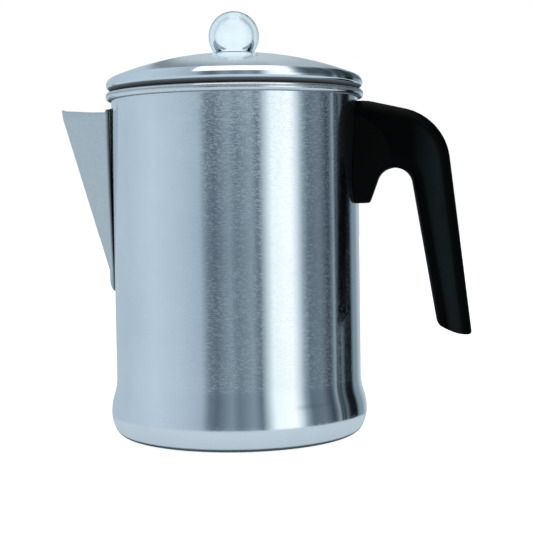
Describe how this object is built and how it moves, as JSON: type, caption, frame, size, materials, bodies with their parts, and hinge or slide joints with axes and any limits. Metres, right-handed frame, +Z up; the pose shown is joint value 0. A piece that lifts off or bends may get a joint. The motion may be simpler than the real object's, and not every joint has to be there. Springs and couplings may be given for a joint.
{
  "type": "coffee percolator",
  "caption": "Stovetop coffee percolator: brushed aluminium pot with folded spout, black side handle, domed lid with clear knob, perforated basket, spreader, and pump stem with a loose valve.",
  "frame": {"origin": "centre of the pot's flat underside, on the pot's axis", "axes": "+Z up along the pot's axis, +X towards the handle, -X towards the spout"},
  "size_m": [0.218, 0.136, 0.2225],
  "materials": {
    "brushed_aluminium": "circumferentially brushed satin",
    "polished_aluminium": "polished",
    "satin_aluminium": "satin",
    "mill_aluminium": "plain mill finish",
    "black_phenolic": "satin black moulded",
    "clear_plastic": "clear, polished",
    "plated_steel": "zinc plated",
    "stainless": "satin",
    "silicone": "translucent silicone"
  },
  "bodies": {
    "pot": {"pot_shell": "brushed_aluminium", "spout": "satin_aluminium", "handle_bracket": "plated_steel", "bracket_rivets": "mill_aluminium", "bracket_nut": "plated_steel", "handle_grip": "black_phenolic", "handle_screw": "plated_steel", "handle_washer": "plated_steel"},
    "pump": {"pump_tube": "mill_aluminium", "pump_foot": "mill_aluminium", "pump_collar": "mill_aluminium", "valve_seat": "stainless", "basket_stop": "mill_aluminium"},
    "valve": {"valve_disc": "stainless"},
    "basket": {"basket_shell": "mill_aluminium", "basket_hub": "mill_aluminium"},
    "spreader": {"spreader_plate": "mill_aluminium"},
    "lid": {"lid_shell": "polished_aluminium"},
    "knob": {"knob_bulb": "clear_plastic", "knob_gasket": "silicone"}
  },
  "joints": [
    {"name": "pump_lift", "type": "slide", "parent": "pot", "child": "pump", "axis": [0, 0, 1], "range_m": [0, 0.19]},
    {"name": "valve_lift", "type": "slide", "parent": "pump", "child": "valve", "axis": [0, 0, 1], "range_m": [0, 0.003]},
    {"name": "basket_lift", "type": "slide", "parent": "pump", "child": "basket", "axis": [0, 0, 1], "range_m": [0, 0.11]},
    {"name": "spreader_lift", "type": "slide", "parent": "basket", "child": "spreader", "axis": [0, 0, 1], "range_m": [0, 0.08]},
    {"name": "lid_lift", "type": "slide", "parent": "spreader", "child": "lid", "axis": [0, 0, 1], "range_m": [0, 0.08]},
    {"name": "knob_turn", "type": "hinge", "parent": "lid", "child": "knob", "pos_m": [0, 0, 0.2], "axis": [0, 0, 1], "range_deg": [0, 90]}
  ]
}
